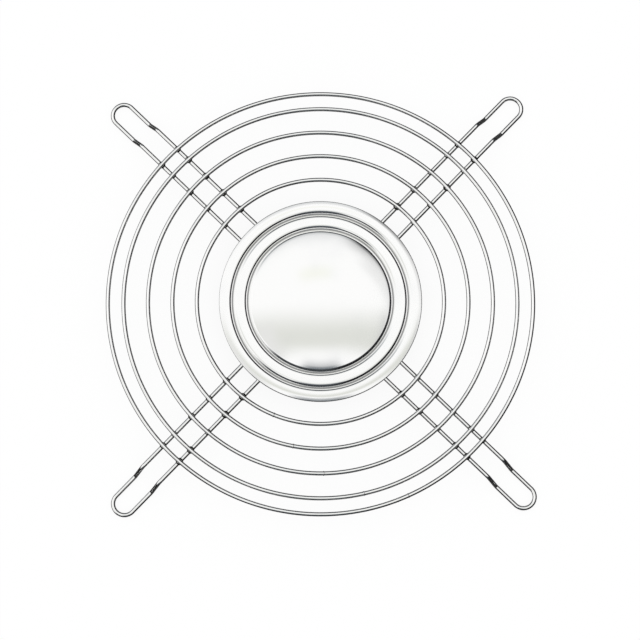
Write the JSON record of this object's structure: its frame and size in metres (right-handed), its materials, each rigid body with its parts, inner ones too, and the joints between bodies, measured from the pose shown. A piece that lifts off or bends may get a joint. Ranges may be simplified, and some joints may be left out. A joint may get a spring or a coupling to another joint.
{
  "type": "wire fan guard",
  "caption": "Round wire finger guard for a square axial fan: concentric rings on four stepped hairpin legs with screw loops, and a pressed domed centre disc.",
  "frame": {"origin": "on the guard's centre line, in the plane of the fan's face, where the four feet lie", "axes": "+Z is the guard's front, away from the fan; +X and +Y are square to the fan's edges, and the legs lie on the diagonals"},
  "size_m": [0.1136, 0.1136, 0.008],
  "materials": {
    "plated_wire": "bright nickel-chrome plated drawn steel wire",
    "plated_sheet": "bright nickel-chrome plated pressed steel sheet"
  },
  "bodies": {
    "root": {"guard_ring_1": "plated_wire", "guard_ring_2": "plated_wire", "guard_ring_3": "plated_wire", "guard_ring_4": "plated_wire", "guard_ring_5": "plated_wire", "hairpin_leg_1": "plated_wire", "hairpin_leg_2": "plated_wire", "hairpin_leg_3": "plated_wire", "hairpin_leg_4": "plated_wire", "centre_disc": "plated_sheet"}
  },
  "joints": []
}
